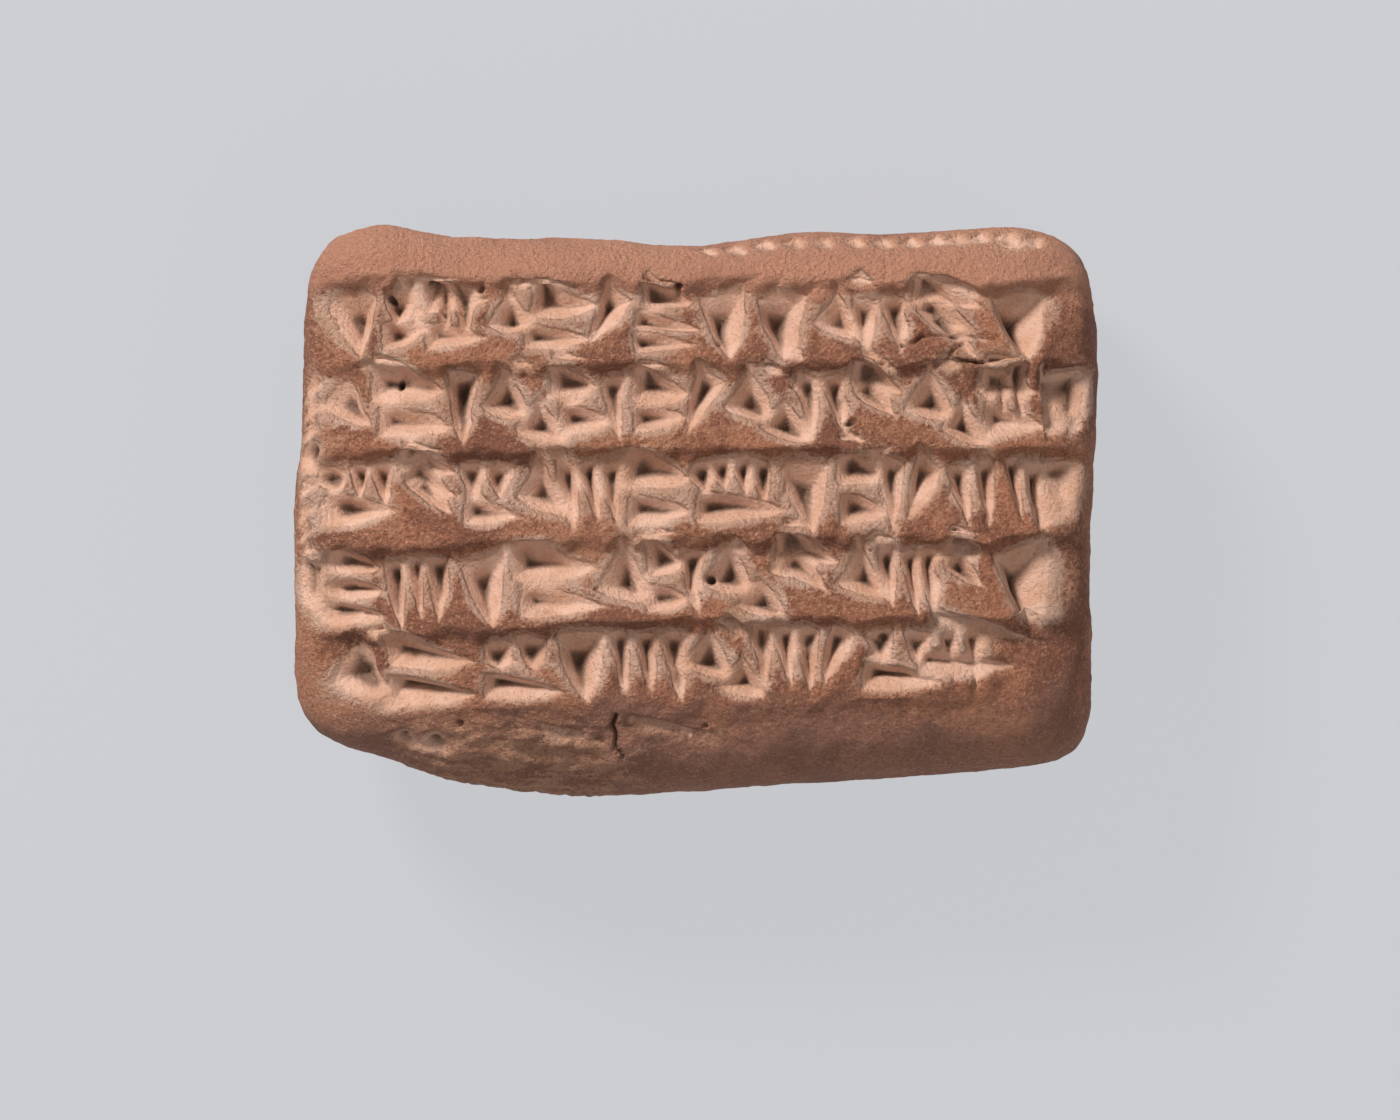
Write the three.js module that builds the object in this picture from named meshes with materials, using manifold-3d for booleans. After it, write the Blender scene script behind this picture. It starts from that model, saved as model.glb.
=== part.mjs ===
// A small clay tablet of the kind a scribe holds in one hand: a pillow of clay, squared by the fingers and
// pressed with a reed in rows of wedge strokes that spell nothing. It lies on its back, the written side up.
// X runs along the rows, Y up the written side and Z out of it. The origin is the middle of the underside.
import * as THREE from "three";
import { mergeVertices } from "three/addons/utils/BufferGeometryUtils.js";
import Module from "manifold-3d";

const wasm = await Module();
wasm.setup();

// ---- Driving sizes, in millimetres ----
const WIDTH = 56;
const HEIGHT = 39.7;
const WAIST = 9.8; // height of the widest line above the underside
const FRONT_RISE = 9.6; // from the widest line up to the written side
const BACK_FALL = 8.5; // from the widest line down to the back, without its crown
const BACK_CROWN = 1.7; // how far the middle of the back bellies out
const CORNER_POWER = 12; // squareness of the corners seen from above
const EDGE_POWER = 4.8; // squareness of the edges in section
const FOOT_POWER = 2.7; // the same at the lower edge, which is rolled rounder
const ROW_HEIGHT = 4.9;
const ROW_SINK = 0.8; // how far a written row lies below the ridge above it
const STROKE_DEPTH = 1.6; // of a full stroke, from the skin down
const HEAD_RUN = 0.46; // how far the reed's point lies from the head, as a share of the stroke's width
const STEEP_SHIFT = 0.24; // and how far it lies towards the steep flank

// The four sides as seen from above: where each lies, given the place along it.
const TOP_SIDE = [
  [-28, 19.3], [-23, 19.95], [-17, 18.9], [-8, 18.8], [0, 18.4],
  [7, 19.2], [15, 19.15], [22, 19.7], [28, 19.2],
];
const LOWER_SIDE = [
  [-28, -16.5], [-22, -17.5], [-16, -19.2], [-8, -20],
  [0, -19.8], [10, -19.1], [20, -18.5], [28, -18.1],
];
const LEFT_SIDE = [[-20, -27.9], [-9, -27.9], [-1, -27.9], [5, -27.4], [12, -27.3], [20, -26.9]];
const RIGHT_SIDE = [[-20, 27.8], [-11, 27.7], [-3, 27.6], [3, 27.9], [10, 28], [20, 27.5]];

// The faces that carry strokes: a point at the middle of each, the way it looks out, and the way its rows
// run. The back is read after turning the tablet over its lower edge.
const FACES = {
  front: { at: [0, 0, 19], out: [0, 0, 1], right: [1, 0, 0] },
  back: { at: [0, 0, 0], out: [0, 0, -1], right: [1, 0, 0] },
  top: { at: [0, 18.3, 16.6], out: [0, 0.8, 0.6], right: [1, 0, 0] },
  lower: { at: [0, -16.2, 16.6], out: [0, -0.6, 0.8], right: [1, 0, 0] },
  left: { at: [-26.6, 0, 15.6], out: [-0.9, 0, 0.436], right: [0, -1, 0] },
};

const mix = THREE.MathUtils.lerp;
const clamp = THREE.MathUtils.clamp;
const ease = THREE.MathUtils.smoothstep;

// A smooth curve through points of rising first number.
function along(points, x) {
  const last = points.length - 1;
  const slope = (i) => {
    const [a, b] = [points[Math.max(i - 1, 0)], points[Math.min(i + 1, last)]];
    return (b[1] - a[1]) / (b[0] - a[0]);
  };
  let i = 0;
  while (i < last - 1 && x > points[i + 1][0]) i += 1;
  const step = points[i + 1][0] - points[i][0];
  const t = clamp((x - points[i][0]) / step, 0, 1);
  const [t2, t3] = [t * t, t * t * t];
  return (
    (2 * t3 - 3 * t2 + 1) * points[i][1] + (t3 - 2 * t2 + t) * step * slope(i) +
    (3 * t2 - 2 * t3) * points[i + 1][1] + (t3 - t2) * step * slope(i + 1)
  );
}

// ---- The rows ----

// The rows of each face, from the top one down: the height of the row's middle, how much lower its left end
// lies, where it starts and ends, its height and its groups of strokes. A group is its kind, how many
// strokes it has, and its share of the row.
const ROWS = [
  { face: "front", v: 12.9, drop: 0, start: -25.6, end: 24.8, height: 4.5,
    groups: "spike 1 4.2, tiers 1 3, lattice 2 5, hooks 1 2.6, rungs 2 5.5, lean 1 2.8, rungs 3 4.5, " +
      "spike 1 4, spike 1 4.6, hooks 1 3, comb 2 4, fan 3 6, spike 1 4.6" },
  { face: "front", v: 7.15, drop: 0.1, start: -25.4, end: 26.8, height: 4.6,
    groups: "hooks 1 3, rungs 2 5.5, spike 1 2.6, hooks 2 5, gate 2 5, rungs 2 4, lean 1 3.2, hooks 2 5, " +
      "comb 2 3.6, fan 2 4, hooks 2 5, lattice 2 4.4, comb 2 3" },
  { face: "front", v: 1.1, drop: 0.2, start: -25.6, end: 26.4, height: 4.9,
    groups: "tiers 3 5.4, fan 3 4.6, tiers 2 4, hooks 1 3, comb 3 4.6, rungs 2 5, tiers 4 6, spike 1 4.4, " +
      "gate 2 5, lean 1 3, comb 2 4, comb 3 5.2" },
  { face: "front", v: -5, drop: 0.7, start: -25.4, end: 24.6, height: 4.9,
    groups: "rungs 3 4.2, comb 3 5, spike 1 4.4, rungs 2 6.2, hooks 1 3, gate 2 4.6, hooks 2 5, fan 2 4.6, " +
      "hooks 1 3, comb 3 4.6, fan 2 3.4, spike 1 4.4" },
  { face: "front", v: -10.5, drop: 1.1, start: -25, end: 20.4, height: 4.9,
    groups: "hooks 1 3.6, rungs 2 6.8, tiers 2 5, spike 1 4, comb 3 5.2, hooks 2 4.6, comb 3 4.6, " +
      "lean 1 2.6, tiers 2 5.6, comb 2 3.4" },
  { face: "top", v: 0.2, drop: 0, start: 0, end: 24.5, height: 2.6,
    groups: "slants 3 6, slants 2 4.6, slants 3 6, slants 2 3, slants 2 4, slants 1 2" },
  { face: "left", v: 0.2, drop: 0, start: -9.5, end: 7.5, height: 2.4,
    groups: "slants 3 5, comb 1 2.4, slants 4 6, rungs 2 4" },
  { face: "back", v: 14.6, drop: 0, start: -23, end: 10.5, height: 4.9,
    groups: "rungs 2 7, comb 2 4.5, hooks 2 6, gate 2 7, comb 2 5, spike 1 4" },
  { face: "back", v: -13.6, drop: 0, start: -22, end: -2, height: 4.9,
    groups: "comb 2 5, hooks 1 4, rungs 2 6, spike 1 5" },
];

// Strokes longer than those of a row: two that run into each other at the lower right, and those on the lower
// edge, where the scribe ran on.
const RUN_ON = [
  { face: "front", mark: [15.2, -10.7, -2, 9.4, 1.9, 0.65] },
  { face: "front", mark: [16.2, -7.4, -25, 11, 1.5, 0.6] },
  { face: "lower", mark: [-4.6, 1.9, -17, 8.5, 1, 0.45] },
  { face: "lower", mark: [-10.8, 1.3, -17, 5.5, 1, 0.4] },
  { face: "lower", mark: [-20.8, -0.1, -40, 2.6, 1.7, 0.5] },
  { face: "lower", mark: [-18.7, 0.2, -42, 2.8, 1.9, 0.5] },
];

const rowTop = (row, u) => row.v + row.height / 2 - row.drop * ease(-u, -4, 26);

// ---- The clay pillow ----

// Takes a point of the cube from -1 to 1 to its place on the tablet.
function pillow(p) {
  const power = mix(EDGE_POWER, FOOT_POWER, ease(-p.y, 0.1, 1));
  const plan = Math.abs(p.x) ** CORNER_POWER + Math.abs(p.y) ** CORNER_POWER;
  p.multiplyScalar((plan ** (power / CORNER_POWER) + Math.abs(p.z) ** power) ** (-1 / power));
  const { x, y, z } = p;
  const acrossX = mix(along(LEFT_SIDE, (y * HEIGHT) / 2), along(RIGHT_SIDE, (y * HEIGHT) / 2), (x + 1) / 2);
  const acrossY = mix(along(LOWER_SIDE, (x * WIDTH) / 2), along(TOP_SIDE, (x * WIDTH) / 2), (y + 1) / 2);
  const crown = BACK_CROWN * (1 - x * x) * (1 - y * y) * ease(-z, 0, 1);
  // The skin is a little uneven, and the upper left corner is pinched up into a knob.
  const uneven = 0.22 * Math.sin(0.21 * acrossX + 0.6) * Math.sin(0.27 * acrossY + 1.1) * Math.max(z, 0);
  const sunk = ROW_SINK * rowSink(acrossX, acrossY) * ease(z, 0.4, 0.9);
  const knob = 0.6 * Math.exp(-(((acrossX + 23.5) / 4) ** 2) - ((acrossY - 17.6) / 2) ** 2) * Math.max(z, 0);
  return p.set(acrossX, acrossY, WAIST + z * (z > 0 ? FRONT_RISE : BACK_FALL) - crown + uneven + knob - sunk);
}

// How far a place on the front is pressed by its row: most just under the ridge above, 0 on the ridges.
function rowSink(x, y) {
  const ends = ease(x + 27, 0, 2.5) * ease(27.5 - x, 0, 2.5);
  return ROWS.filter((row) => row.face === "front").reduce((most, row) => {
    const wobble = 0.2 * Math.sin(0.8 * x + row.v) + 0.13 * Math.sin(1.9 * x - 2 * row.v);
    const down = (rowTop(row, x) + wobble - y) / ROW_HEIGHT;
    return Math.max(most, ends * ease(down, -0.13, 0.12) * (1 - ease(down, 0.15, 1.15)));
  }, 0);
}

function pillowGeometry() {
  const box = new THREE.BoxGeometry(2, 2, 2, 20, 26, 6);
  const place = box.getAttribute("position");
  const p = new THREE.Vector3();
  const crowd = (t) => Math.sign(t) * (1 - (1 - Math.abs(t)) ** 1.25); // closer steps towards the edges
  for (let i = 0; i < place.count; i += 1) {
    p.fromBufferAttribute(place, i);
    p.set(crowd(p.x), p.y, p.z);
    place.setXYZ(i, ...pillow(p));
  }
  const joined = joinedUp(box);
  joined.computeVertexNormals();
  return joined;
}

// The same faces with shared corners, and nothing but their places.
function joinedUp(geometry) {
  geometry.deleteAttribute("normal");
  geometry.deleteAttribute("uv");
  return mergeVertices(geometry, 1e-4);
}

// ---- The strokes ----

let drawn = 0;
// A fixed run of uneven numbers from -1 to 1, for the scribe's hand.
function hand() {
  drawn += 1;
  const s = Math.sin(drawn * 12.9898) * 43758.5453;
  return 2 * (s - Math.floor(s)) - 1;
}

// One stroke: where its head is, which way its tail points (degrees, 0 along the row, -90 down the face),
// and how long, wide and deep it is.
const stroke = (u, v, angle, length, width, depth = 1) => ({
  u,
  v,
  angle: angle + 5 * hand(),
  length: length * (1 + 0.08 * hand()),
  width: width * (1 + 0.1 * hand()),
  depth: depth * STROKE_DEPTH * (1 + 0.12 * hand()),
});

// Groups of strokes that fill a cell of a row. A cell has its left end u, its top line v, its width and its
// height.
const GROUPS = {
  // Upright strokes side by side.
  comb: ({ u, v, w, h }, n) =>
    Array.from({ length: n }, (_, i) => {
      const top = v + 0.2 * hand();
      const length = h * (1.25 + 0.15 * hand());
      return stroke(u + (w * (i + 0.5)) / n, top, -88, length, Math.min((1.5 * w) / n, 2.8), 0.95);
    }),
  // Level strokes one above the other.
  rungs: ({ u, v, w, h }, n) =>
    Array.from({ length: n }, (_, i) =>
      stroke(u + 0.4 * hand(), v - (h * (i + 0.5)) / n, -3, w * 1.25, Math.min((1.25 * h) / n, 2.6), 0.85)),
  // Level strokes crossed by uprights.
  lattice: (cell, n) => [
    ...GROUPS.rungs(cell, 2),
    ...GROUPS.comb({ ...cell, u: cell.u + 0.3 * cell.w, w: 0.5 * cell.w, v: cell.v + 0.2 }, n),
  ],
  // Slanting strokes that spread from the upper left.
  fan: ({ u, v, w, h }, n) =>
    Array.from({ length: n }, (_, i) =>
      stroke(u + 0.12 * w * i, v - 0.4 - 0.1 * h * i, -14 - (48 * i) / n, w * (1.25 - 0.1 * i), 1.9, 0.9)),
  // Broad heads of the reed, set corner to corner.
  hooks: ({ u, v, w, h }, n) =>
    Array.from({ length: n }, (_, i) => {
      const low = 0.28 + 0.34 * (i % 2);
      return stroke(u + (w * (i + 0.15)) / n, v - h * low, -38, Math.min((1.7 * w) / n, h), 0.7 * h, 1);
    }),
  // One big upright with a broad head.
  spike: ({ u, v, w, h }) => [stroke(u + 0.5 * w, v + 0.3, -84, h * 1.4, Math.min(1.25 * w, 5), 1.45)],
  // Uprights that lean to the left.
  lean: ({ u, v, w, h }, n) =>
    Array.from({ length: n }, (_, i) =>
      stroke(u + (w * (i + 0.75)) / n, v, -116, h * 1.2, Math.min((1.3 * w) / n, 3), 1)),
  // Slanting strokes side by side, as where the reed was drawn round an edge.
  slants: ({ u, v, w, h }, n) =>
    Array.from({ length: n }, (_, i) =>
      stroke(u + (w * (i + 0.2)) / n, v - 0.1 * h, -52, h * 1.1, Math.min((0.95 * w) / n, 2.6), 0.42)),
  // Short uprights over one level stroke.
  tiers: (cell, n) => [
    ...GROUPS.comb({ ...cell, h: 0.55 * cell.h }, n),
    stroke(cell.u, cell.v - 0.74 * cell.h, -4, 1.2 * cell.w, 0.5 * cell.h, 0.9),
  ],
  // Levels one above the other, closed by an upright.
  gate: (cell, n) => [
    ...GROUPS.rungs({ ...cell, w: 0.7 * cell.w }, n),
    stroke(cell.u + 0.85 * cell.w, cell.v, -88, 1.25 * cell.h, 2.4, 1),
  ],
};

function strokesOf(row) {
  const groups = row.groups.split(", ").map((words) => words.split(" "));
  const shares = groups.reduce((sum, [, , share]) => sum + Number(share), 0);
  let u = row.start;
  return groups.flatMap(([kind, count, share]) => {
    const cell = { u, v: rowTop(row, u), w: ((row.end - row.start) * share) / shares, h: row.height };
    u += cell.w;
    return GROUPS[kind](cell, Number(count)).map((s) => ({ face: row.face, ...s }));
  });
}

// ---- Cutting ----

const REACH = 60; // further out than any point of the clay
const ray = new THREE.Raycaster();

// The frame of a face: its middle, its outward way, and right and up along it.
function frameOf(face) {
  const at = new THREE.Vector3(...FACES[face].at);
  const out = new THREE.Vector3(...FACES[face].out).normalize();
  const right = new THREE.Vector3(...FACES[face].right);
  return { at, out, right, up: new THREE.Vector3().crossVectors(out, right) };
}

// The clay's skin under the point (u, v) of a face: its place, and the way it looks out.
function skinAt(clay, { at, out, right, up }, u, v) {
  const from = at.clone().addScaledVector(right, u).addScaledVector(up, v).addScaledVector(out, REACH);
  ray.set(from, out.clone().negate());
  return ray.intersectObject(clay)[0];
}

// A closed mesh's solid.
function solidOf(geometry) {
  const joined = joinedUp(geometry.clone());
  return new wasm.Manifold(
    new wasm.Mesh({
      numProp: 3,
      vertProperties: joined.getAttribute("position").array,
      triVerts: Uint32Array.from(joined.index.array),
    }),
  );
}

// The corner of the reed as it meets the clay: a tetrahedron, its point in the clay and its base above it.
// It stands square to the skin under the stroke. Its point lies near the head and towards the upper left, so
// that flank is the steep one.
function reedCorner(clay, s) {
  const face = frameOf(s.face);
  const angle = THREE.MathUtils.degToRad(s.angle);
  const [du, dv] = [Math.cos(angle), Math.sin(angle)];
  const out = skinAt(clay, face, s.u + 0.35 * s.length * du, s.v + 0.35 * s.length * dv).normal;
  const tail = face.right.clone().multiplyScalar(du).addScaledVector(face.up, dv);
  const side = new THREE.Vector3().crossVectors(out, tail).normalize();
  tail.crossVectors(side, out);
  const steep = face.right.clone().multiplyScalar(-0.6).addScaledVector(face.up, 0.8);
  const head = skinAt(clay, face, s.u, s.v).point;
  const point = head.clone().addScaledVector(tail, HEAD_RUN * s.width)
    .addScaledVector(side, STEEP_SHIFT * s.width * side.dot(steep));
  const lift = (s.depth + 1) / s.depth;
  const corner = (alongTail, across) =>
    head.clone().addScaledVector(tail, alongTail).addScaledVector(side, across)
      .sub(point).multiplyScalar(lift).add(point).addScaledVector(out, 1);
  const base = [corner(0, s.width / 2), corner(s.length, 0), corner(0, -s.width / 2)];
  point.addScaledVector(out, -s.depth);
  const [left, tip, right] = base;
  const corners = [left, right, tip, left, tip, point, tip, right, point, right, left, point];
  return solidOf(new THREE.BufferGeometry().setFromPoints(corners).setIndex([...corners.keys()]));
}

function tabletGeometry() {
  const pillowShape = pillowGeometry();
  const clay = new THREE.Mesh(pillowShape);
  const strokes = ROWS.flatMap(strokesOf);
  for (const { face, mark } of RUN_ON) strokes.push({ face, ...stroke(...mark) });
  const cuts = strokes.map((s) => reedCorner(clay, s));
  const floor = solidOf(new THREE.BoxGeometry(2 * WIDTH, 2 * HEIGHT, 20).translate(0, 0, -10));
  const cut = solidOf(pillowShape).subtract(wasm.Manifold.union([...cuts, floor])).getMesh();
  const geometry = new THREE.BufferGeometry();
  geometry.setAttribute("position", new THREE.BufferAttribute(cut.vertProperties, 3));
  geometry.setIndex(new THREE.BufferAttribute(cut.triVerts, 1));
  geometry.computeVertexNormals();
  return geometry;
}

const tablet = new THREE.Mesh(
  tabletGeometry(),
  new THREE.MeshStandardMaterial({ color: "#a5765c", roughness: 0.85, metalness: 0 }),
);
tablet.name = "tablet";

// The sides are not straight, so the middle of the underside is found from the whole.
const box = new THREE.Box3().setFromObject(tablet);
tablet.position.set(-(box.min.x + box.max.x) / 2, -(box.min.y + box.max.y) / 2, 0);

const part = new THREE.Group();
part.add(tablet);

export default part;
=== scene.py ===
# A small inscribed clay tablet, lying on its back on a pale table with its written side up.
# X runs along the rows, Y up the written side and Z out of it. Lengths are in millimetres until MM takes
# them to metres.
import math

import bmesh
import bpy
import numpy as np
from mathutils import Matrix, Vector, noise
from mathutils.bvhtree import BVHTree


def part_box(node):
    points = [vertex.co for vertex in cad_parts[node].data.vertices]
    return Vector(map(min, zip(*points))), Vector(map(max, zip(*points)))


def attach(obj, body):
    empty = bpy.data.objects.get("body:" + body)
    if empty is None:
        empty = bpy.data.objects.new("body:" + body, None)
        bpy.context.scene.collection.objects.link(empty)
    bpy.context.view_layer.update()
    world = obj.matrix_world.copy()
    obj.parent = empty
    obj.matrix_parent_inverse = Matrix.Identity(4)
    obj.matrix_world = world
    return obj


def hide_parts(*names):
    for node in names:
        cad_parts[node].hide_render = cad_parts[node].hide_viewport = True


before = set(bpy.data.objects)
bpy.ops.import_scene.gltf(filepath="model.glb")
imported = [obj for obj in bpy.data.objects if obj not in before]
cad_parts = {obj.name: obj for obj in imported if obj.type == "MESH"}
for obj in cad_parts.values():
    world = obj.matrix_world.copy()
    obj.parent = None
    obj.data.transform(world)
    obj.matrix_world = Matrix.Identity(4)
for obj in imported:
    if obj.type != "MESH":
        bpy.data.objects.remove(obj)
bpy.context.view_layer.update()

# ---- The camera ----
# It hangs over the written side and looks straight down, with the tablet a little above the middle.
MM = 0.001
LENS = 150
SENSOR = 36
VIEW_WIDTH = 97.9  # across the view, at the height of the tablet's waist
VIEW_CENTRE = (0.31, -3.34)
WAIST = 9.8  # height of the widest line above the table

camera = bpy.data.cameras.new("camera")
camera.lens = LENS
camera.sensor_width = SENSOR
camera.clip_start = 0.01
camera_object = bpy.data.objects.new("camera", camera)
camera_object.location = [c * MM for c in (*VIEW_CENTRE, WAIST + VIEW_WIDTH * LENS / SENSOR)]
bpy.context.collection.objects.link(camera_object)
bpy.context.scene.camera = camera_object

# ---- The tablet ----
# One lump of levigated river clay, patted into a pillow, squared at the edges by the fingers and pressed all
# over with the corner of a cut reed while it was wet. It has dried, been fired and lain in the ground: the
# skin that was handled is dark and smooth, and what the reed opened is pale and sandy.
WIDTH = 56
HEIGHT = 39.7
FRONT_RISE = 9.6  # from the widest line up to the written side
BACK_FALL = 8.5  # and down to the back, without its crown
BACK_CROWN = 1.7  # how far the middle of the back bellies out
CORNER_POWER = 12  # squareness of the corners seen from above
EDGE_POWER = 4.8  # squareness of the edges in section
FOOT_POWER = 2.7  # the same at the lower edge, which is rolled rounder
UNEVEN = 0.22  # how far the written side rises and falls
KNOB = 0.6  # how far the upper left corner is pinched up
ROW_HEIGHT = 4.9
ROW_SINK = 0.8  # how far a written row lies below the ridge above it
STROKE_DEPTH = 1.6  # of a full stroke, from the skin down
HEAD_RUN = 0.46  # how far the reed's point lies from the head, as a share of the stroke's width
STEEP_SHIFT = 0.24  # and how far it lies towards the steep flank

# The four sides as seen from above: where each lies, given the place along it.
TOP_SIDE = [
    (-28, 19.3), (-23, 19.95), (-17, 18.9), (-8, 18.8), (0, 18.4),
    (7, 19.2), (15, 19.15), (22, 19.7), (28, 19.2),
]
LOWER_SIDE = [
    (-28, -16.5), (-22, -17.5), (-16, -19.2), (-8, -20),
    (0, -19.8), (10, -19.1), (20, -18.5), (28, -18.1),
]
LEFT_SIDE = [(-20, -27.9), (-9, -27.9), (-1, -27.9), (5, -27.4), (12, -27.3), (20, -26.9)]
RIGHT_SIDE = [(-20, 27.8), (-11, 27.7), (-3, 27.6), (3, 27.9), (10, 28), (20, 27.5)]

# The rows of each face, from the top one down: the height of the row's middle, how much lower its left end
# lies, where it starts and ends, its height and its groups of strokes. A group is its kind, its count and
# its share of the row.
ROWS = [
    ("front", 12.9, 0, -25.6, 24.8, 4.5,
     "spike 1 4.2, tiers 1 3, lattice 2 5, hooks 1 2.6, rungs 2 5.5, lean 1 2.8, rungs 3 4.5, spike 1 4, "
     "spike 1 4.6, hooks 1 3, comb 2 4, fan 3 6, spike 1 4.6"),
    ("front", 7.15, 0.1, -25.4, 26.8, 4.6,
     "hooks 1 3, rungs 2 5.5, spike 1 2.6, hooks 2 5, gate 2 5, rungs 2 4, lean 1 3.2, hooks 2 5, "
     "comb 2 3.6, fan 2 4, hooks 2 5, lattice 2 4.4, comb 2 3"),
    ("front", 1.1, 0.2, -25.6, 26.4, ROW_HEIGHT,
     "tiers 3 5.4, fan 3 4.6, tiers 2 4, hooks 1 3, comb 3 4.6, rungs 2 5, tiers 4 6, spike 1 4.4, "
     "gate 2 5, lean 1 3, comb 2 4, comb 3 5.2"),
    ("front", -5, 0.7, -25.4, 24.6, ROW_HEIGHT,
     "rungs 3 4.2, comb 3 5, spike 1 4.4, rungs 2 6.2, hooks 1 3, gate 2 4.6, hooks 2 5, fan 2 4.6, "
     "hooks 1 3, comb 3 4.6, fan 2 3.4, spike 1 4.4"),
    ("front", -10.5, 1.1, -25, 20.4, ROW_HEIGHT,
     "hooks 1 3.6, rungs 2 6.8, tiers 2 5, spike 1 4, comb 3 5.2, hooks 2 4.6, comb 3 4.6, lean 1 2.6, "
     "tiers 2 5.6, comb 2 3.4"),
    ("top", 0.2, 0, 0, 24.5, 2.6,
     "slants 3 6, slants 2 4.6, slants 3 6, slants 2 3, slants 2 4, slants 1 2"),
    ("left", 0.2, 0, -9.5, 7.5, 2.4, "slants 3 5, comb 1 2.4, slants 4 6, rungs 2 4"),
    ("back", 14.6, 0, -23, 10.5, ROW_HEIGHT,
     "rungs 2 7, comb 2 4.5, hooks 2 6, gate 2 7, comb 2 5, spike 1 4"),
    ("back", -13.6, 0, -22, -2, ROW_HEIGHT, "comb 2 5, hooks 1 4, rungs 2 6, spike 1 5"),
]
# Strokes outside the rows: two long ones that draw together at the lower right, and four on the lower edge,
# where the scribe ran on. Each is its face, then what stroke() takes.
RUN_ON = [
    ("front", 15.2, -10.7, -2, 9.4, 1.9, 0.65),
    ("front", 16.2, -7.4, -25, 11, 1.5, 0.6),
    ("lower", -4.6, 1.9, -17, 8.5, 1, 0.45),
    ("lower", -10.8, 1.3, -17, 5.5, 1, 0.4),
    ("lower", -20.8, -0.1, -40, 2.6, 1.7, 0.5),
    ("lower", -18.7, 0.2, -42, 2.8, 1.9, 0.5),
]

# The faces that carry strokes: the middle of each, the way it looks out, and the way its rows run.
FACES = {
    "front": ((0, 0, 19), (0, 0, 1), (1, 0, 0)),
    "back": ((0, 0, 0), (0, 0, -1), (1, 0, 0)),
    "top": ((0, 18.3, 16.6), (0, 0.8, 0.6), (1, 0, 0)),
    "lower": ((0, -16.2, 16.6), (0, -0.6, 0.8), (1, 0, 0)),
    "left": ((-26.6, 0, 15.6), (-0.9, 0, 0.436), (0, -1, 0)),
}


def ease(x, low, high):
    t = np.clip((x - low) / (high - low), 0, 1)
    return t * t * (3 - 2 * t)


def along(points, x):
    """A smooth curve through points of rising first number."""
    place, value = np.array(points, float).T
    slope = np.gradient(value, place)
    slope[1:-1] = (value[2:] - value[:-2]) / (place[2:] - place[:-2])
    i = np.clip(np.searchsorted(place, x) - 1, 0, len(place) - 2)
    step = place[i + 1] - place[i]
    t = np.clip((x - place[i]) / step, 0, 1)
    return (
        (2 * t**3 - 3 * t**2 + 1) * value[i]
        + (t**3 - 2 * t**2 + t) * step * slope[i]
        + (3 * t**2 - 2 * t**3) * value[i + 1]
        + (t**3 - t**2) * step * slope[i + 1]
    )


def row_top(row, u, height):
    """The line that a row of this height hangs from, at a place along it."""
    _, middle, drop, *_ = row
    return middle + height / 2 - drop * ease(-u, -4, 26)


def row_sink(x, y):
    """How far a place on the front is pressed by its row: most under the ridge above, 0 on the ridges."""
    most = np.zeros_like(x)
    ends = ease(x + 27, 0, 2.5) * ease(27.5 - x, 0, 2.5)
    for row in ROWS:
        if row[0] == "front":
            wobble = 0.2 * np.sin(0.8 * x + row[1]) + 0.13 * np.sin(1.9 * x - 2 * row[1])
            down = (row_top(row, x, row[5]) + wobble - y) / ROW_HEIGHT
            most = np.maximum(most, ends * ease(down, -0.13, 0.12) * (1 - ease(down, 0.15, 1.15)))
    return most


def pillow(p):
    """Takes points of the cube from -1 to 1 to their places on the smooth tablet."""
    power = EDGE_POWER + (FOOT_POWER - EDGE_POWER) * ease(-p[:, 1], 0.1, 1)
    plan = np.abs(p[:, 0]) ** CORNER_POWER + np.abs(p[:, 1]) ** CORNER_POWER
    x, y, z = (p * ((plan ** (power / CORNER_POWER) + np.abs(p[:, 2]) ** power) ** (-1 / power))[:, None]).T
    left, right = along(LEFT_SIDE, y * HEIGHT / 2), along(RIGHT_SIDE, y * HEIGHT / 2)
    lower, top = along(LOWER_SIDE, x * WIDTH / 2), along(TOP_SIDE, x * WIDTH / 2)
    across_x = left + (right - left) * (x + 1) / 2
    across_y = lower + (top - lower) * (y + 1) / 2
    crown = BACK_CROWN * (1 - x * x) * (1 - y * y) * ease(-z, 0, 1)
    uneven = UNEVEN * np.sin(0.21 * across_x + 0.6) * np.sin(0.27 * across_y + 1.1) * np.maximum(z, 0)
    sunk = ROW_SINK * row_sink(across_x, across_y) * ease(z, 0.4, 0.9)
    knob = KNOB * np.exp(-(((across_x + 23.5) / 4) ** 2) - ((across_y - 17.6) / 2) ** 2) * np.maximum(z, 0)
    height = WAIST + z * np.where(z > 0, FRONT_RISE, BACK_FALL) - crown + uneven + knob - sunk
    return np.column_stack([across_x, across_y, height])


def pillow_mesh(steps, finer=0):
    """The smooth tablet as a cube cut into steps along its three ways, and each step cut again."""
    bm = bmesh.new()
    bmesh.ops.create_cube(bm, size=2)
    for axis, count in enumerate(steps):
        across = [e for e in bm.edges if abs(e.verts[0].co[axis] - e.verts[1].co[axis]) > 1e-6]
        bmesh.ops.subdivide_edges(bm, edges=across, cuts=count - 1, use_grid_fill=True)
    if finer:
        bmesh.ops.subdivide_edges(bm, edges=bm.edges[:], cuts=finer - 1, use_grid_fill=True)
    mesh = bpy.data.meshes.new("tablet")
    bm.to_mesh(mesh)
    bm.free()
    places = np.empty(3 * len(mesh.vertices))
    mesh.vertices.foreach_get("co", places)
    mesh.vertices.foreach_set("co", pillow(places.reshape(-1, 3)).ravel())
    mesh.update()
    return mesh


drawn = 0


def hand():
    """A fixed run of uneven numbers from -1 to 1, for the scribe's hand."""
    global drawn
    drawn += 1
    s = math.sin(drawn * 12.9898) * 43758.5453
    return 2 * (s - math.floor(s)) - 1


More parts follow.
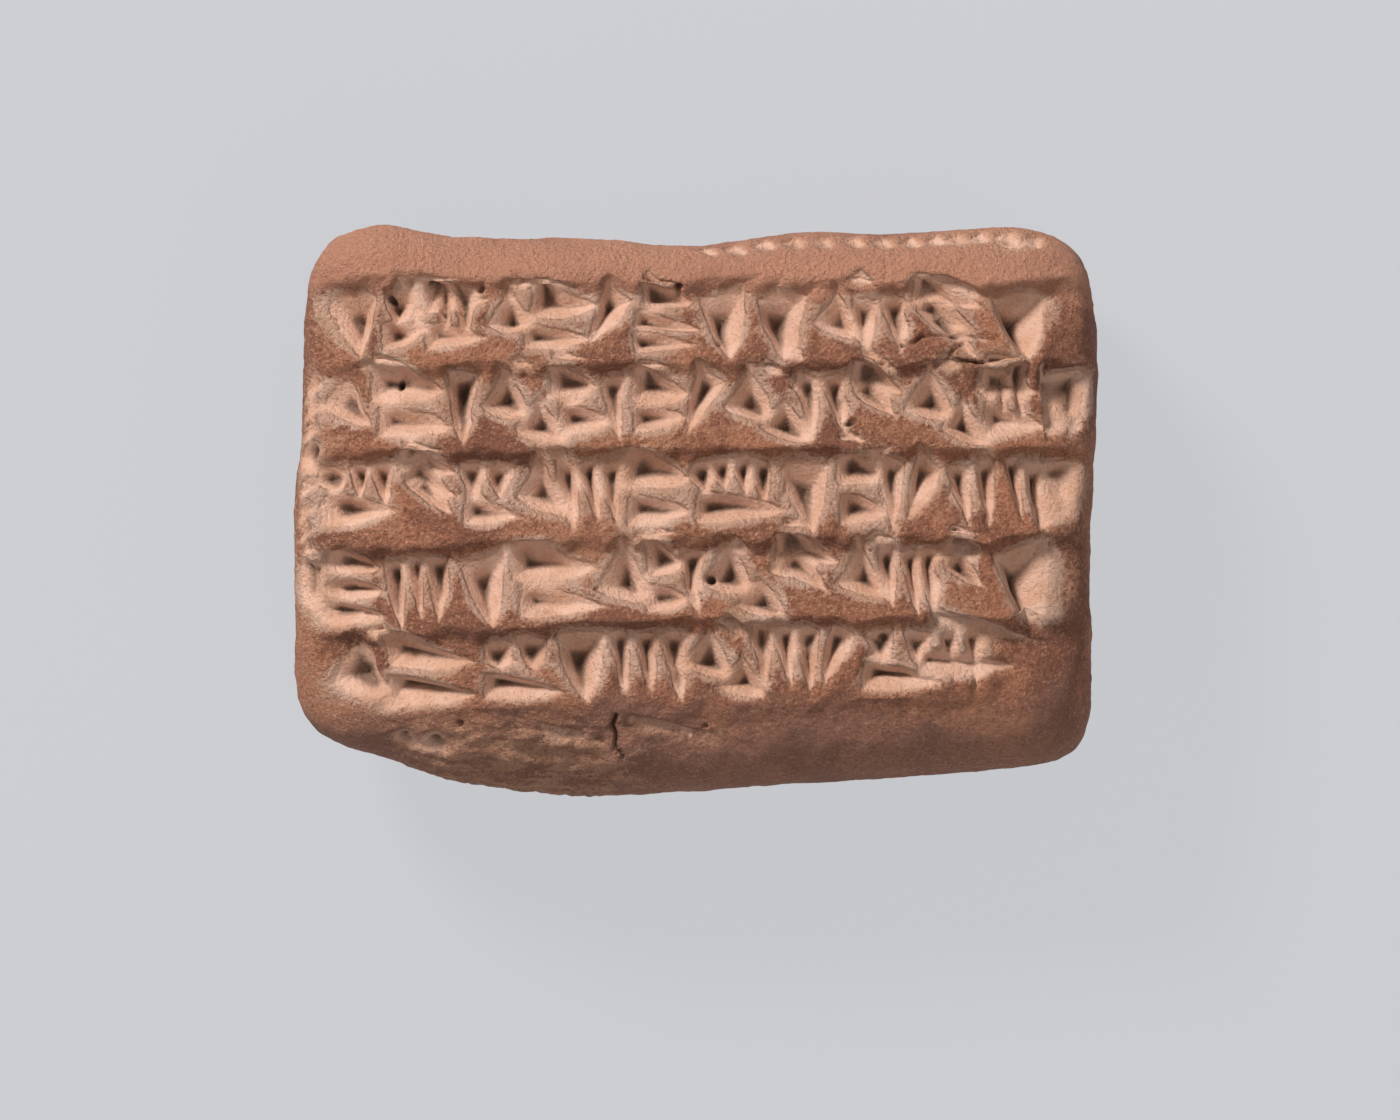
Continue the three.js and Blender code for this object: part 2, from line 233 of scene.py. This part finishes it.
def stroke(u, v, angle, length, width, depth=1):
    """Where its head is, which way its tail points, and how long, wide and deep it is."""
    angle += 5 * hand()
    length *= 1 + 0.08 * hand()
    width *= 1 + 0.1 * hand()
    return u, v, angle, length, width, depth * STROKE_DEPTH * (1 + 0.12 * hand())


# Groups of strokes that fill a cell of a row: its left end u, its top line v, its width, its height and how
# many strokes the group has.
def comb(u, v, w, h, n):
    """Upright strokes side by side."""
    strokes = []
    for i in range(n):
        top = v + 0.2 * hand()
        length = h * (1.25 + 0.15 * hand())
        strokes.append(stroke(u + w * (i + 0.5) / n, top, -88, length, min(1.5 * w / n, 2.8), 0.95))
    return strokes


def rungs(u, v, w, h, n):
    """Level strokes one above the other."""
    return [
        stroke(u + 0.4 * hand(), v - h * (i + 0.5) / n, -3, w * 1.25, min(1.25 * h / n, 2.6), 0.85)
        for i in range(n)
    ]


def lattice(u, v, w, h, n):
    """Level strokes crossed by uprights."""
    return rungs(u, v, w, h, 2) + comb(u + 0.3 * w, v + 0.2, 0.5 * w, h, n)


def fan(u, v, w, h, n):
    """Slanting strokes that spread from the upper left."""
    return [
        stroke(u + 0.12 * w * i, v - 0.4 - 0.1 * h * i, -14 - 48 * i / n, w * (1.25 - 0.1 * i), 1.9, 0.9)
        for i in range(n)
    ]


def hooks(u, v, w, h, n):
    """Broad slanting heads, high and low in turn."""
    return [
        stroke(u + w * (i + 0.15) / n, v - h * (0.28 + 0.34 * (i % 2)), -38, min(1.7 * w / n, h), 0.7 * h, 1)
        for i in range(n)
    ]


def spike(u, v, w, h, n):
    """One big upright with a broad head."""
    return [stroke(u + 0.5 * w, v + 0.3, -84, h * 1.4, min(1.25 * w, 5), 1.45)]


def lean(u, v, w, h, n):
    """Uprights whose tails run down to the left."""
    return [
        stroke(u + w * (i + 0.75) / n, v, -116, h * 1.2, min(1.3 * w / n, 3), 1)
        for i in range(n)
    ]


def slants(u, v, w, h, n):
    """Shallow slanting strokes, as on the edges."""
    return [
        stroke(u + w * (i + 0.2) / n, v - 0.1 * h, -52, h * 1.1, min(0.95 * w / n, 2.6), 0.42)
        for i in range(n)
    ]


def tiers(u, v, w, h, n):
    """Short uprights over one level stroke."""
    return comb(u, v, w, 0.55 * h, n) + [stroke(u, v - 0.74 * h, -4, 1.2 * w, 0.5 * h, 0.9)]


def gate(u, v, w, h, n):
    """Level strokes closed by an upright."""
    return rungs(u, v, 0.7 * w, h, n) + [stroke(u + 0.85 * w, v, -88, 1.25 * h, 2.4, 1)]


GROUPS = {g.__name__: g for g in (comb, rungs, lattice, fan, hooks, spike, lean, slants, tiers, gate)}

strokes = []
for row in ROWS:
    face, _, _, start, end, height, groups = row
    groups = [words.split() for words in groups.split(", ")]
    shares = sum(float(share) for _, _, share in groups)
    u = start
    for kind, count, share in groups:
        width = (end - start) * float(share) / shares
        top = float(row_top(row, u, height))
        strokes += [(face, *s) for s in GROUPS[kind](u, top, width, height, int(count))]
        u += width
strokes += [(face, *stroke(*s)) for face, *s in RUN_ON]

# The reed also leaves smaller, shallower marks between the strokes, where it was set down twice or slipped.
# They are on the written side alone, and none is at the ends of the rows or beside the longest strokes.
SLIP_REACH = 25  # the furthest from the middle that a stroke with such a mark has its head
SLIP_LONGEST = 9  # the longest that such a stroke may be
slips = []
for face, u, v, angle, length, width, depth in strokes:
    beside = (0.75 + 0.3 * hand()) * width
    turn = math.radians(angle + 90)
    u, v = u + beside * math.cos(turn), v + beside * math.sin(turn)
    if face == "front" and abs(u) < SLIP_REACH and length < SLIP_LONGEST:
        slips.append((face, *stroke(u, v, angle + 12 * hand(), 0.6 * length, 0.5 * width, 0.45)))
strokes = slips + strokes

# The clay before it is written on: a coarse copy to find the skin under a stroke, and the fine one to press.
rough = bmesh.new()
rough.from_mesh(pillow_mesh((60, 48, 14)))
skin_tree = BVHTree.FromBMesh(rough)
rough.free()
mesh = pillow_mesh((28, 20, 4), 15)
skin = np.empty(3 * len(mesh.vertices))
out_of_skin = np.empty(3 * len(mesh.vertices))
mesh.vertices.foreach_get("co", skin)
mesh.vertex_normals.foreach_get("vector", out_of_skin)
skin, out_of_skin = skin.reshape(-1, 3), out_of_skin.reshape(-1, 3)


def noise_at(places, scale, seed, octaves=1):
    """Smooth uneven numbers from about -1 to 1 over the clay, one for each place."""
    shift = Vector((17.3 * seed, 5.1 * seed, 9.7 * seed))
    return np.array([noise.fractal(Vector(p) / scale + shift, 1, 2, octaves) for p in places])


# The edges of a stroke wander a little, because the clay drags on the reed.
WANDER = 0.12
wander = WANDER * np.column_stack([noise_at(skin, 1.6, seed, 2) for seed in (1, 2, 3)])


def smooth_max(a, b, blend):
    return (a + b + np.sqrt((a - b) ** 2 + blend * blend)) / 2


LIP = 0.14  # how high the clay is pushed up beside a stroke, as a share of its depth
PUSH = 0.12  # how far it is pushed aside, as a share of the same
LIP_WIDTH = 0.45
PUSH_WIDTH = 0.5
RIM_ROUND = 0.08  # how rounded a stroke meets the skin
SEAT = 0.35  # how far along a stroke its slope is taken from the skin
STEEP_WAY = (-0.6, 0.8)  # along the row and up it: the side on which the reed cuts steeply
TAPER = 1.8  # how fast a stroke narrows to its tail: 1 is a straight wedge
FLANK_SHARE = 0.85  # of the depth that the flat flanks reach
HEAD_SHARE = 0.45  # and how much deeper the very point of the reed goes
LEVELLING = 0.5  # how level a stroke's bed stays where the skin rises and falls: 0 follows the skin
STROKE_REACH = (1.2, 2.2)  # above and below the head, where a stroke fades and ends
pressed = np.zeros(len(skin))


def skin_under(face, u, v):
    at, out, right = (Vector(w) for w in FACES[face])
    out.normalize()
    up = out.cross(right)
    return skin_tree.ray_cast(at + right * u + up * v + out * 60, -out)


def press(face, u, v, angle, length, width, depth):
    """Sinks the clay under one stroke, and pushes the clay beside it away and up into a lip."""
    _, out, right = (Vector(w) for w in FACES[face])
    up = out.normalized().cross(right)
    du, dv = math.cos(math.radians(angle)), math.sin(math.radians(angle))
    out = skin_under(face, u + SEAT * length * du, v + SEAT * length * dv)[1]
    tail = right * du + up * dv
    side = out.cross(tail).normalized()
    tail = side.cross(out)
    steep = side.dot(STEEP_WAY[0] * right + STEEP_WAY[1] * up)
    head = np.array(skin_under(face, u, v)[0])
    out, tail, side = np.array(out), np.array(tail), np.array(side)
    middle = head + tail * length / 2
    near = np.flatnonzero(((skin - middle) ** 2).sum(axis=1) < (length / 2 + width + 1.5) ** 2)

    def rims(a, b):
        """How far a place is inside each of the three rims."""
        slant = math.hypot(1 / length, 2 / width)
        taper = 1 - np.maximum(a / length, 0) ** TAPER
        return a, (taper + 2 * b / width) / slant, (taper - 2 * b / width) / slant

    def along_reed():
        from_head = skin[near] + wander[near] - head
        return from_head @ tail, from_head @ side, from_head @ out

    a, b, c = along_reed()
    level = 1 - ease(np.abs(c), *STROKE_REACH)
    rim = np.minimum.reduce(rims(a, b))
    away_a, away_b = a - np.clip(a, 0.3 * width, length), b
    reach = np.hypot(away_a, away_b) + 0.05
    fading = 1 - np.clip(a / length, 0, 1) ** TAPER
    push = PUSH * depth * fading * np.exp(-((rim / PUSH_WIDTH) ** 2)) * level / reach
    skin[near] += (push * away_a)[:, None] * tail + (push * away_b)[:, None] * side

    a, b, c = along_reed()
    point = (HEAD_RUN * width, STEEP_SHIFT * width * steep)
    share = np.minimum.reduce([r / p for r, p in zip(rims(a, b), rims(*point))])
    deep = np.maximum(share, 0)
    cut = depth * (FLANK_SHARE * share + HEAD_SHARE * deep**4) + LEVELLING * c
    cut = np.where(level > 0, cut, -9)
    rim = np.minimum.reduce(rims(a, b))
    lip = LIP * depth * fading * np.exp(-((np.minimum(rim, 0) / LIP_WIDTH) ** 2)) * level
    pressed[near] = smooth_max(pressed[near] - lip, cut, RIM_ROUND)


for s in strokes:
    press(*s)

ends = np.empty(2 * len(mesh.edges), int)
mesh.edges.foreach_get("vertices", ends)
ends = np.concatenate([ends.reshape(-1, 2), ends.reshape(-1, 2)[:, ::-1]])
neighbours = np.bincount(ends[:, 0])


def beside_mean(values):
    """The mean over each place's neighbours."""
    return np.bincount(ends[:, 0], values[ends[:, 1]]) / neighbours


# Handling has rounded every crest, and left the grooves nearly as sharp as the reed made them.
CREST_WEAR = 0.8
GROOVE_WEAR = 0.1
for _ in range(9):
    rise = beside_mean(pressed) - pressed
    pressed += np.where(rise > 0, CREST_WEAR, GROOVE_WEAR) * rise

# Cracks from drying, and small deep holes where straw or grit has gone. A crack is its points, its width and
# its depth, and a hole its place, its radius and its depth.
CRACKS = [
    ([(14.2, 11.3), (15.1, 11.4), (15.6, 11.8), (16.9, 12), (19.2, 12), (20.7, 11.7)], 0.2, 0.4),
    ([(16.6, 9.6), (17.3, 10.2), (17.9, 11), (18.8, 11.6)], 0.2, 0.3),
    ([(18, 10.1), (19.7, 10)], 0.2, 0.6),
    ([(-24.9, 5), (-23.9, 5.6)], 0.18, 0.3),
    ([(-19.8, -0.2), (-18.8, -1.2)], 0.18, 0.3),
    ([(-19.2, 13.7), (-17.4, 13.4), (-16.1, 13.4)], 0.15, 0.2),
    ([(-5.4, -14.4), (-5.7, -15.1), (-5.3, -15.9), (-5.5, -16.6), (-5, -17.2)], 0.14, 0.5),
]
PITS = [
    (-21.1, 14.5, 0.3, 0.8), (-18, 14.8, 0.3, 0.6), (-16.2, 14.9, 0.3, 0.4), (-14.5, 14.8, 0.3, 0.4),
    (-20.4, 8.5, 0.25, 0.7), (-17, 9.5, 0.25, 0.6), (-1.1, 15, 0.3, 0.8), (1.7, 11.6, 0.2, 0.4),
    (10.6, 5.9, 0.3, 0.7), (1, -4.9, 0.35, 0.9), (12.8, -8.7, 0.3, 0.5), (-13.6, 18.5, 0.2, 0.4),
    (0.8, -15.3, 0.15, 0.4), (-16.2, -14.9, 0.2, 0.4),
]
front = out_of_skin[:, 2] > 0.1  # cracks and holes are in the written side alone
torn = np.zeros(len(skin))
for points, width, depth in CRACKS:
    points = np.array(points)
    for start, end in zip(points, points[1:]):
        along_it = end - start
        from_start = skin[:, :2] + wander[:, :2] - start
        share = np.clip(from_start @ along_it / (along_it @ along_it), 0, 1)
        off = np.hypot(*(from_start - share[:, None] * along_it).T)
        torn = np.maximum(torn, front * depth * np.clip(1.3 - off / width, 0, 1))
for x, y, radius, depth in PITS:
    off = np.hypot(*(skin[:, :2] + 3 * wander[:, :2] - (x, y)).T)
    torn = np.maximum(torn, front * depth * np.clip(1.4 - off / radius, 0, 1))

# The lower edge is rubbed down to a fibrous break on the left, and a flake stands up beside its crack.
rubbed = np.exp(-(((skin[:, 0] + 11.5) / 8) ** 4) - ((skin[:, 1] + 18) / 2.8) ** 4)
fibres = noise_at(skin * (0.45, 1.3, 1.3), 1.1, 6, 4)
flake = np.exp(-(((skin[:, 0] + 4.4) / 1.1) ** 2) - ((skin[:, 1] + 16.6) / 1) ** 2) * (skin[:, 0] > -5.6)

# The hand and the ground have left the skin wavy, and it is sandy, less so where the reed smoothed it.
wavy = 0.14 * noise_at(skin, 5, 4, 2) + 0.11 * noise_at(skin, 2, 7, 2)
sandy = 0.05 * noise_at(skin, 0.6, 5, 4) * (1 - 0.6 * ease(pressed, 0.1, 0.4))
FIBRE_RELIEF = 0.36
FLAKE_RISE = 0.3
depth = pressed + torn + wavy + sandy + FIBRE_RELIEF * rubbed * fibres - FLAKE_RISE * flake * front
near_mean = depth
for _ in range(30):
    near_mean = beside_mean(near_mean)
worked = pressed
for _ in range(90):
    worked = beside_mean(worked)
mesh.vertices.foreach_set("co", (skin - depth[:, None] * out_of_skin).ravel())

# What the finish needs to know of each place: how deep the reed went there, how deep it went all about, how
# far the place lies below what is beside it and below the worked clay all about, and where it is torn or
# rubbed.
attributes = {
    "pressed": pressed,
    "worked": worked,
    "hollow": depth - near_mean,
    "deep": depth - worked,
    "torn": torn,
    "rubbed": rubbed,
}
for name, values in attributes.items():
    mesh.attributes.new(name, "FLOAT", "POINT").data.foreach_set("value", values)

# It is set on the plain solid's own box, in metres, and rests on the flat spot of its back.
low, high = np.array(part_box("tablet"))
places = np.empty(3 * len(mesh.vertices))
mesh.vertices.foreach_get("co", places)
places = places.reshape(-1, 3)
least, most = places[:, :2].min(axis=0), places[:, :2].max(axis=0)
places[:, :2] = (places[:, :2] - (least + most) / 2) * (high[:2] - low[:2]) / MM / (most - least)
places[:, 2] = np.maximum(places[:, 2], 0)
mesh.vertices.foreach_set("co", (places * MM).ravel())
mesh.update()

# It is thinned where the clay is plain, which keeps the strokes sharp.
MOST_TRIANGLES = 195000
tablet = bpy.data.objects.new("clay_tablet", mesh)
bpy.context.collection.objects.link(tablet)
thin = tablet.modifiers.new("thin", "DECIMATE")
thin.ratio = MOST_TRIANGLES / (2 * len(mesh.polygons))
whole = tablet.evaluated_get(bpy.context.evaluated_depsgraph_get())
finished = bpy.data.meshes.new_from_object(whole)
tablet.modifiers.clear()
tablet.data = finished
finished.polygons.foreach_set("use_smooth", [True] * len(finished.polygons))


class Channel:
    """One output of a node. Sums on it add Math nodes."""

    def __init__(self, finish, socket):
        self.finish, self.socket = finish, socket

    def maths(self, operation, *values):
        return self.finish.node("ShaderNodeMath", {"operation": operation}, *values)

    def __add__(self, other):
        return self.maths("ADD", self, other)

    def __sub__(self, other):
        return self.maths("SUBTRACT", self, other)

    def __rsub__(self, other):
        return self.maths("SUBTRACT", other, self)

    def __mul__(self, other):
        return self.maths("MULTIPLY", self, other)

    __radd__ = __add__
    __rmul__ = __mul__


class Finish:
    """A material in the making."""

    def __init__(self, name):
        self.material = bpy.data.materials.new(name)
        self.material.use_nodes = True
        self.tree = self.material.node_tree
        self.tree.nodes.clear()

    def node(self, kind, settings=None, *values, out=0, numbered=None, **named):
        """A node, after its settings. Its sockets are fed in order, by number or by name."""
        node = self.tree.nodes.new(kind)
        for key, value in (settings or {}).items():
            setattr(node, key, value)
        for key, value in [*enumerate(values), *(numbered or {}).items(), *named.items()]:
            socket = node.inputs[key if isinstance(key, int) else key.replace("_", " ")]
            if isinstance(value, Channel):
                self.tree.links.new(value.socket, socket)
            else:
                socket.default_value = value
        return Channel(self, node.outputs[out]) if node.outputs else None

    def noise(self, place, size, detail, roughness):
        """Uneven numbers about 0.5, whose lumps are about size millimetres across."""
        return self.node(
            "ShaderNodeTexNoise", {"normalize": True},
            Vector=place, Scale=1 / size, Detail=detail, Roughness=roughness,
        )

    def step(self, value, low, high):
        """0 below low, 1 above high, and a smooth rise between."""
        return self.node(
            "ShaderNodeMapRange", {"interpolation_type": "SMOOTHSTEP"},
            Value=value, From_Min=low, From_Max=high,
        )

    def attribute(self, name):
        return self.node("ShaderNodeAttribute", {"attribute_name": name}, out=2)

    def mix(self, factor, first, second):
        """The first colour where the factor is 0, the second where it is 1."""
        return self.node(
            "ShaderNodeMix", {"data_type": "RGBA"}, numbered={0: factor, 6: first, 7: second}, out=2
        )


def earth(red, green, blue):
    """A colour from the 0 to 255 numbers of a swatch."""
    return (*(((c / 255 + 0.055) / 1.055) ** 2.4 for c in (red, green, blue)), 1)


SKIN = earth(184, 118, 85)
SKIN_DARK = earth(146, 91, 66)
# Painted light on the bare band above the first row, which faces the lamp.
PAINTED_LIGHT_HEAD = earth(212, 148, 118)  # the bare band above the first row
SKIN_FOOT = earth(168, 118, 97)  # the lower edge
SANDY = earth(198, 145, 114)
PALE = earth(222, 178, 154)
PALE_WARM = earth(206, 157, 129)
# Dust, with painted shade, for the creases and the deep heads, which lie in shadow.
DUST_AND_SHADE = earth(104, 76, 58)
# Dirt, with painted shade, for the cracks and holes.
DIRT_AND_SHADE = earth(70, 46, 36)
GRAIN_LIGHT = earth(224, 182, 156)
GRAIN_DARK = earth(96, 62, 46)
GRAIN_RELIEF = 0.7  # how high the sandy grain stands

clay = Finish("fired_clay")
coordinates = clay.node("ShaderNodeTexCoord", out=3)
place = clay.node("ShaderNodeVectorMath", {"operation": "SCALE"}, coordinates, Scale=1 / MM)
height_up = clay.node("ShaderNodeSeparateXYZ", {}, place, out=1)
out_up = clay.node("ShaderNodeSeparateXYZ", {}, place, out=2)
sunk, worked_here, hollow, deep, torn_here, rubbed_here = (
    clay.attribute(name) for name in ("pressed", "worked", "hollow", "deep", "torn", "rubbed")
)
grain = clay.noise(place, 0.4, 6, 0.75) - 0.5
blotch = clay.noise(place, 6, 5, 0.6)
uneven = blotch - 0.5

# The handled skin, in blotches, with painted light on the band at the head, and duller at the foot.
colour = clay.mix(clay.step(blotch + grain * 0.8, 0.38, 0.62), SKIN_DARK, SKIN)
foot = clay.step(height_up + uneven * 14, -11, -15)
colour = clay.mix(foot * 0.6, colour, SKIN_FOOT)
# The band at the head is lightened as painted light, where it faces the lamp.
head = clay.step(height_up + uneven * 5, 13, 16.5) * clay.step(out_up + uneven * 6, 11, 16)
colour = clay.mix(head * 0.8, colour, PAINTED_LIGHT_HEAD)

# Sandy clay shows through about the strokes, and in streaks where the lower edge is rubbed.
along_rows = clay.node("ShaderNodeVectorMath", {"operation": "MULTIPLY"}, place, (0.4, 1, 1))
streak = clay.noise(along_rows, 0.9, 5, 0.7)
rubbed_through = rubbed_here * ((streak - 0.5) * 2.4 + 0.2)
opened = sunk * 0.7 + worked_here * 0.7 + grain * 1.1 + uneven * 0.5 + rubbed_through
colour = clay.mix(clay.step(opened, -0.02, 0.35), colour, SANDY)

# The strokes themselves and the worn crests beside them are pale.
crest = clay.step(hollow, -0.01, -0.1) * clay.step(worked_here, 0.05, 0.25)
pale = clay.mix(clay.step(clay.noise(place, 2.5, 4, 0.6), 0.35, 0.65), PALE_WARM, PALE)
opened = sunk + worked_here * 0.25 + crest * 0.3 + grain * 0.7
colour = clay.mix(clay.step(opened, 0.08, 0.4), colour, pale)

# Dust with painted shade darkens the creases and the deep heads, and dirt with painted shade the cracks and
# holes.
colour = clay.mix(clay.step(hollow, 0.15, 0.6) * 0.6, colour, DUST_AND_SHADE)
colour = clay.mix(clay.step(deep, 0.3, 0.9) * 0.6, colour, DUST_AND_SHADE)
# The cracks and holes are darkened with dirt and painted shade.
colour = clay.mix(clay.step(torn_here, 0.2, 0.7) * 0.6, colour, DIRT_AND_SHADE)
speck = clay.noise(place, 0.2, 3, 0.6)
colour = clay.mix(clay.step(speck, 0.56, 0.74) * 0.4, colour, GRAIN_LIGHT)
colour = clay.mix(clay.step(speck, 0.42, 0.28) * 0.5, colour, GRAIN_DARK)

grit = clay.noise(place, 0.3, 4, 0.7)
lumps = clay.noise(place, 0.8, 3, 0.5)
coarse = 1.2 - 0.7 * clay.step(sunk, 0.05, 0.3)  # finer where the reed has smoothed the clay
bump = clay.node(
    "ShaderNodeBump", {}, Strength=1, Distance=GRAIN_RELIEF * MM, Height=coarse * (grit + lumps * 0.3)
)
surface = clay.node("ShaderNodeBsdfPrincipled", {}, Base_Color=colour, Roughness=0.85, Normal=bump)
clay.node("ShaderNodeOutputMaterial", {}, surface)
finished.materials.clear()
finished.materials.append(clay.material)

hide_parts("tablet")
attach(tablet, "root")

# ---- The table ----
# A sheet of pale grey card under soft light.
floor_mesh = bpy.data.meshes.new("floor")
bm = bmesh.new()
bmesh.ops.create_grid(bm, x_segments=1, y_segments=1, size=3)
bm.to_mesh(floor_mesh)
bm.free()
floor = bpy.data.objects.new("floor", floor_mesh)
bpy.context.collection.objects.link(floor)
card = Finish("pale_card")
CARD = earth(62, 62, 64)
CARD_GLOW = earth(205, 206, 210)  # most of its light is its own, so the shadow on it is faint
diffuse = card.node("ShaderNodeBsdfDiffuse", {}, Color=CARD)
glow = card.node("ShaderNodeEmission", {}, Color=CARD_GLOW, Strength=0.9)
card.node("ShaderNodeOutputMaterial", {}, card.node("ShaderNodeAddShader", {}, diffuse, glow))
floor_mesh.materials.append(card.material)

# ---- The light ----
# One soft lamp up and to the left rakes across the strokes, and a wide weak one fills from the lower right.


def lamp(name, towards, distance, size, power):
    light = bpy.data.lights.new(name, "AREA")
    light.shape = "DISK"
    light.size = size
    light.energy = power
    lamp_object = bpy.data.objects.new(name, light)
    lamp_object.location = Vector(towards).normalized() * distance
    lamp_object.rotation_euler = Vector(towards).to_track_quat("Z", "Y").to_euler()
    bpy.context.collection.objects.link(lamp_object)


lamp("key", towards=(-0.6, 0.75, 0.75), distance=0.8, size=0.2, power=8.4)
lamp("fill", towards=(0.5, -0.6, 1), distance=1.2, size=0.9, power=3)

world = bpy.data.worlds.new("studio")
bpy.context.scene.world = world
world.use_nodes = True
world.node_tree.nodes["Background"].inputs["Color"].default_value = (1, 1, 1, 1)
world.node_tree.nodes["Background"].inputs["Strength"].default_value = 0.3
bpy.context.scene.view_settings.view_transform = "Standard"
